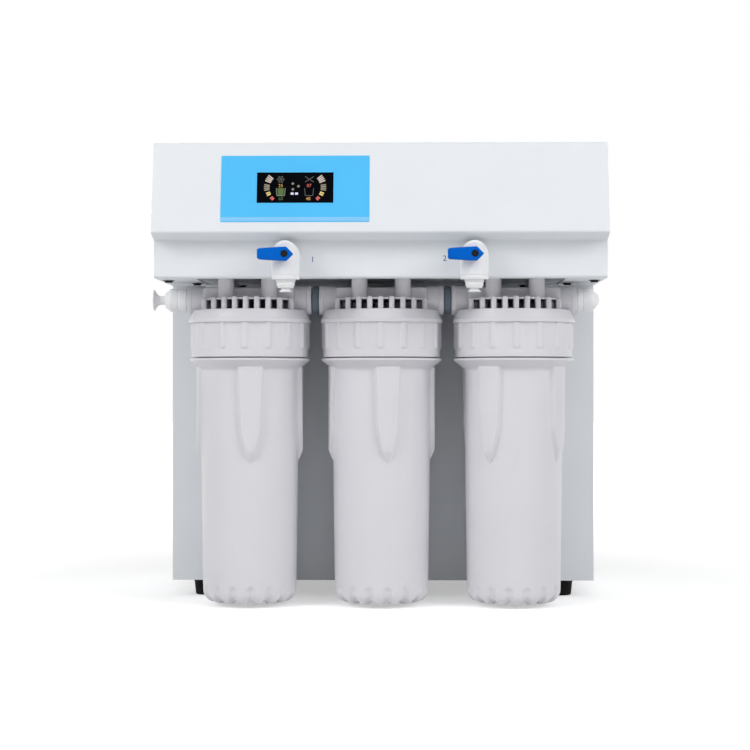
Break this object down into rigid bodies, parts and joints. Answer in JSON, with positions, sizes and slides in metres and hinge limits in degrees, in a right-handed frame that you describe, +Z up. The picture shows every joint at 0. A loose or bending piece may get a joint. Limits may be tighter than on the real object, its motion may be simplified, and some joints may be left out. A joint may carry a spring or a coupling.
{
  "type": "ultrapure water system",
  "caption": "Bench ultrapure water unit: boxed steel case with an overhanging hood, screw-on filter housings below it, lever valves on its chin and a display fascia.",
  "frame": {"origin": "bottom centre of the bounding box, on the surface that the feet and nothing else touch", "axes": "+Z up, the hood, valves and filter housings face -Y, +X to the right of someone in front"},
  "size_m": [0.4422, 0.4228, 0.446],
  "materials": {
    "painted_case": "satin powder coat",
    "plated_steel": "zinc plated",
    "foot_rubber": "matte",
    "seal_rubber": "matte",
    "white_housing": "soft gloss moulded polypropylene",
    "white_fitting": "soft gloss acetal",
    "valve_core": "plain",
    "blue_lever": "soft gloss",
    "grey_coupling": "plain",
    "tube_plastic": "translucent polyethylene",
    "blue_fascia": "fine satin film",
    "display_lens": "polished dark lens",
    "circuit_board": "solder mask",
    "sediment_media": "melt-blown fibre",
    "carbon_shell": "plain",
    "carbon_block": "pressed carbon in a net",
    "pump_metal": "black paint",
    "pump_plastic": "moulded",
    "vessel_plastic": "moulded",
    "membrane_wrap": "tape wound",
    "supply_cage": "perforated cage",
    "black_plastic": "moulded"
  },
  "bodies": {
    "case": {"base_tray": "painted_case", "left_side_panel": "painted_case", "right_side_panel": "painted_case", "lower_front_panel": "painted_case", "hood_front_panel": "painted_case", "top_cover": "painted_case", "rear_panel": "painted_case", "filter_bracket": "plated_steel", "valve_rail": "plated_steel", "case_screws": "plated_steel", "filter_screws": "plated_steel", "foot_front_left": "foot_rubber", "foot_rear_left": "foot_rubber", "foot_front_right": "foot_rubber", "foot_rear_right": "foot_rubber", "filter_head_left": "white_housing", "filter_head_middle": "white_housing", "filter_head_right": "white_housing", "inlet_connector": "white_fitting", "outlet_elbow": "white_fitting", "valve_body_left": "white_fitting", "valve_body_right": "white_fitting", "valve_locknut_left": "white_fitting", "valve_locknut_right": "white_fitting", "drain_port": "white_fitting", "coupling_left": "grey_coupling", "coupling_right": "grey_coupling", "feed_tube": "tube_plastic", "internal_tubes": "tube_plastic", "control_fascia": "blue_fascia", "display_window": "display_lens", "display_board": "circuit_board", "control_board": "circuit_board", "pump_motor": "pump_metal", "pump_head": "pump_plastic", "membrane_vessel": "vessel_plastic", "resin_column": "vessel_plastic", "membrane_element": "membrane_wrap", "power_supply": "supply_cage", "power_socket": "black_plastic"},
    "left_lever": {"valve_lever_left": "blue_lever", "valve_ball_left": "valve_core", "lever_screw_left": "plated_steel"},
    "right_lever": {"valve_lever_right": "blue_lever", "valve_ball_right": "valve_core", "lever_screw_right": "plated_steel"},
    "left_release": {"valve_collet_left": "white_fitting"},
    "right_release": {"valve_collet_right": "white_fitting"},
    "inlet_release": {"inlet_collet": "white_fitting"},
    "drain_release": {"drain_collet": "white_fitting"},
    "left_filter": {"sediment_cartridge": "sediment_media"},
    "left_bowl": {"filter_bowl_left": "white_housing", "bowl_seal_left": "seal_rubber"},
    "middle_filter": {"carbon_cartridge": "carbon_shell"},
    "middle_bowl": {"filter_bowl_middle": "white_housing", "bowl_seal_middle": "seal_rubber"},
    "right_filter": {"carbon_block_cartridge": "carbon_block"},
    "right_bowl": {"filter_bowl_right": "white_housing", "bowl_seal_right": "seal_rubber"},
    "switch_rocker": {"power_rocker": "black_plastic"}
  },
  "joints": [
    {"name": "left_lever_turn", "type": "hinge", "parent": "case", "child": "left_lever", "pos_m": [-0.0847, -0.1889, 0.3383], "axis": [0, -1, 0], "range_deg": [0, 90]},
    {"name": "left_collet_press", "type": "slide", "parent": "case", "child": "left_release", "axis": [0, 0, 1], "range_m": [0, 0.0015]},
    {"name": "right_lever_turn", "type": "hinge", "parent": "case", "child": "right_lever", "pos_m": [0.0925, -0.1889, 0.3383], "axis": [0, -1, 0], "range_deg": [0, 90]},
    {"name": "right_collet_press", "type": "slide", "parent": "case", "child": "right_release", "axis": [0, 0, 1], "range_m": [0, 0.0015]},
    {"name": "inlet_collet_press", "type": "slide", "parent": "case", "child": "inlet_release", "axis": [1, 0, 0], "range_m": [0, 0.0015]},
    {"name": "drain_collet_press", "type": "slide", "parent": "case", "child": "drain_release", "axis": [0, -1, 0], "range_m": [0, 0.0015]},
    {"name": "left_bowl_drop", "type": "slide", "parent": "case", "child": "left_filter", "axis": [0, 0, -1], "range_m": [0, 0.02]},
    {"name": "left_bowl_turn", "type": "hinge", "parent": "left_filter", "child": "left_bowl", "pos_m": [-0.1261, -0.0989, 0.12], "axis": [0, 0, -1], "range_deg": [0, 1440]},
    {"name": "middle_bowl_drop", "type": "slide", "parent": "case", "child": "middle_filter", "axis": [0, 0, -1], "range_m": [0, 0.02]},
    {"name": "middle_bowl_turn", "type": "hinge", "parent": "middle_filter", "child": "middle_bowl", "pos_m": [0.0039, -0.0989, 0.12], "axis": [0, 0, -1], "range_deg": [0, 1440]},
    {"name": "right_bowl_drop", "type": "slide", "parent": "case", "child": "right_filter", "axis": [0, 0, -1], "range_m": [0, 0.02]},
    {"name": "right_bowl_turn", "type": "hinge", "parent": "right_filter", "child": "right_bowl", "pos_m": [0.1339, -0.0989, 0.12], "axis": [0, 0, -1], "range_deg": [0, 1440]},
    {"name": "switch_rock", "type": "hinge", "parent": "case", "child": "switch_rocker", "pos_m": [-0.1461, 0.1926, 0.1205], "axis": [-1, 0, 0], "range_deg": [0, 16]}
  ],
  "couplings": [
    {"joint": "left_bowl_drop", "follows": "left_bowl_turn", "m_per_rad": 0.00079577},
    {"joint": "middle_bowl_drop", "follows": "middle_bowl_turn", "m_per_rad": 0.00079577},
    {"joint": "right_bowl_drop", "follows": "right_bowl_turn", "m_per_rad": 0.00079577}
  ]
}
